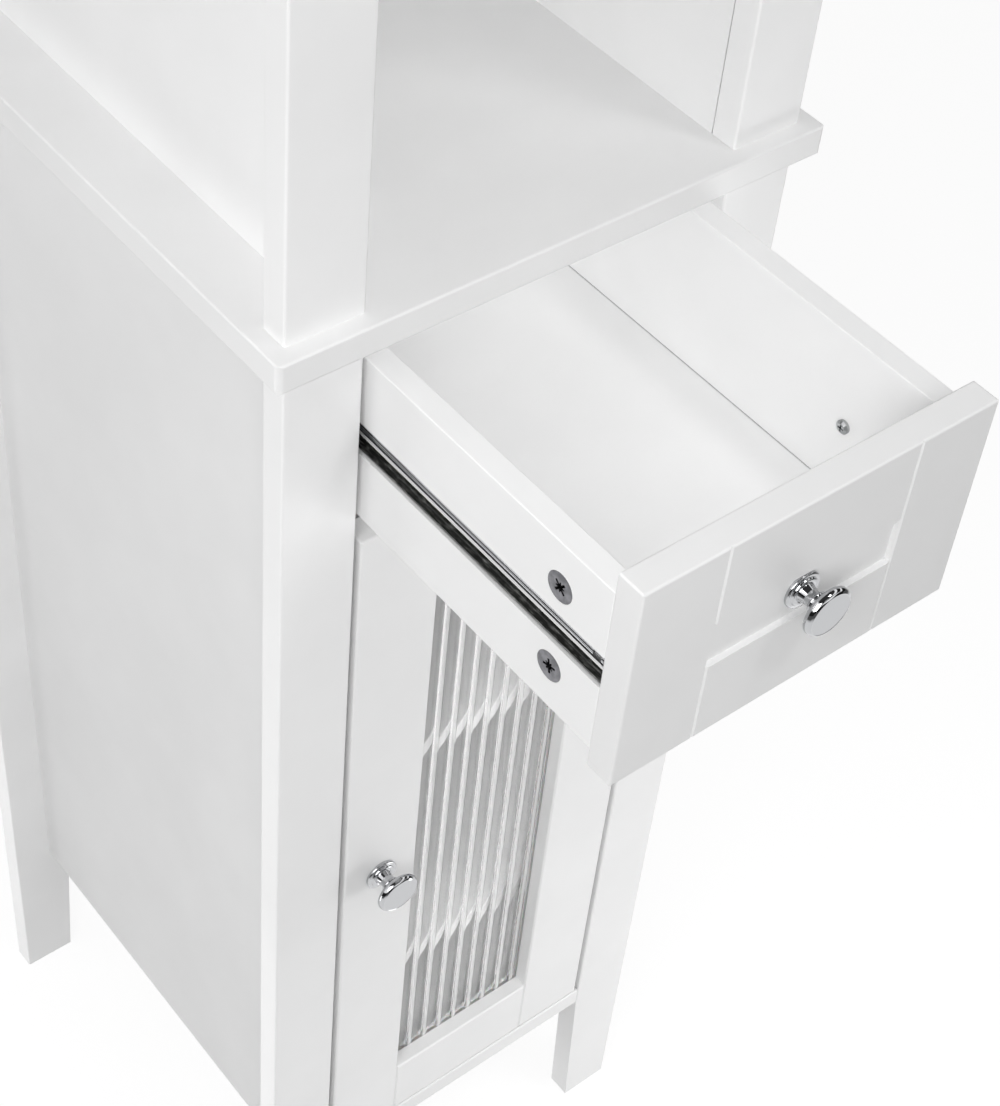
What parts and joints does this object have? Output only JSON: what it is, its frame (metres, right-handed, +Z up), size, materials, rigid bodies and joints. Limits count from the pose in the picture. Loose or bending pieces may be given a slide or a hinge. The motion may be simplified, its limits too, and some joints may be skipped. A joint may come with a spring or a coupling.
{
  "type": "bathroom storage tower",
  "caption": "Narrow free-standing tower: open shelves between four posts over a cabinet with a drawer on ball-bearing slides and a reeded-glass door on concealed hinges.",
  "frame": {"origin": "on the floor, under the middle of the box round the tower with its drawer pulled out as at rest", "axes": "+Z up, the front with drawer and door faces -Y, +X to the right seen from the front"},
  "size_m": [0.3, 0.508, 1.6],
  "materials": {
    "lacquered_mdf": "white satin lacquer on fibreboard",
    "lacquered_hardboard": "white lacquered hardboard",
    "reeded_glass": "clear, reeded on the front",
    "chrome_knob": "polished chrome with a satin face",
    "zinc_casting": "raw zinc die casting",
    "zinc_steel": "zinc plated",
    "nickel_steel": "nickel plated",
    "nylon": "moulded",
    "beech_dowel": "fluted beech"
  },
  "bodies": {
    "case": {"top_board": "lacquered_mdf", "mid_board": "lacquered_mdf", "bottom_board": "lacquered_mdf", "drawer_divider": "lacquered_mdf", "lower_side_left": "lacquered_mdf", "lower_side_right": "lacquered_mdf", "upper_side_left": "lacquered_mdf", "upper_side_right": "lacquered_mdf", "lower_back_panel": "lacquered_hardboard", "upper_back_panel": "lacquered_hardboard", "front_leg_post_left": "lacquered_mdf", "front_leg_post_right": "lacquered_mdf", "rear_leg_post_left": "lacquered_mdf", "rear_leg_post_right": "lacquered_mdf", "upper_front_post_left": "lacquered_mdf", "upper_front_post_right": "lacquered_mdf", "upper_rear_post_left": "lacquered_mdf", "upper_rear_post_right": "lacquered_mdf", "open_shelf_lower": "lacquered_mdf", "open_shelf_upper": "lacquered_mdf", "inner_shelf_lower": "lacquered_mdf", "inner_shelf_upper": "lacquered_mdf", "shelf_pins": "nylon", "slide_cabinet_member_left": "zinc_steel", "slide_cabinet_member_right": "zinc_steel", "hinge_arms": "nickel_steel", "hinge_plates": "nickel_steel", "magnetic_catch": "nylon", "case_screws": "zinc_steel", "case_dowels": "beech_dowel"},
    "slide_cage_left": {"slide_cage_left": "zinc_steel"},
    "slide_cage_right": {"slide_cage_right": "zinc_steel"},
    "drawer": {"drawer_stile_left": "lacquered_mdf", "drawer_stile_right": "lacquered_mdf", "drawer_rail_top": "lacquered_mdf", "drawer_rail_bottom": "lacquered_mdf", "drawer_field_panel": "lacquered_mdf", "drawer_side_left": "lacquered_mdf", "drawer_side_right": "lacquered_mdf", "drawer_back": "lacquered_mdf", "drawer_bottom": "lacquered_mdf", "drawer_screws": "zinc_steel", "drawer_cam_locks": "zinc_casting", "drawer_cam_bolts": "zinc_steel", "drawer_knob": "chrome_knob", "drawer_knob_screw": "zinc_steel", "slide_drawer_member_left": "zinc_steel", "slide_drawer_member_right": "zinc_steel"},
    "door": {"door_stile_left": "lacquered_mdf", "door_stile_right": "lacquered_mdf", "door_rail_top": "lacquered_mdf", "door_rail_bottom": "lacquered_mdf", "door_glass": "reeded_glass", "door_knob": "chrome_knob", "door_knob_screw": "zinc_steel", "door_screws": "zinc_steel", "glass_beads": "nylon", "hinge_cups": "nickel_steel", "hinge_pins": "nickel_steel", "strike_plate": "nickel_steel"}
  },
  "joints": [
    {"name": "drawer_slide", "type": "slide", "parent": "case", "child": "drawer", "axis": [0, -1, 0], "range_m": [-0.171, 0.024]},
    {"name": "cage_slide_left", "type": "slide", "parent": "case", "child": "slide_cage_left", "axis": [0, -1, 0], "range_m": [-0.0856, 0.0121]},
    {"name": "cage_slide_right", "type": "slide", "parent": "case", "child": "slide_cage_right", "axis": [0, -1, 0], "range_m": [-0.0856, 0.0121]},
    {"name": "door_hinge", "type": "hinge", "parent": "case", "child": "door", "pos_m": [0.0845, -0.06, 0.40725], "axis": [0, 0, 1], "range_deg": [0, 95]}
  ],
  "couplings": [
    {"joint": "cage_slide_left", "follows": "drawer_slide", "ratio": 0.5},
    {"joint": "cage_slide_right", "follows": "drawer_slide", "ratio": 0.5}
  ]
}
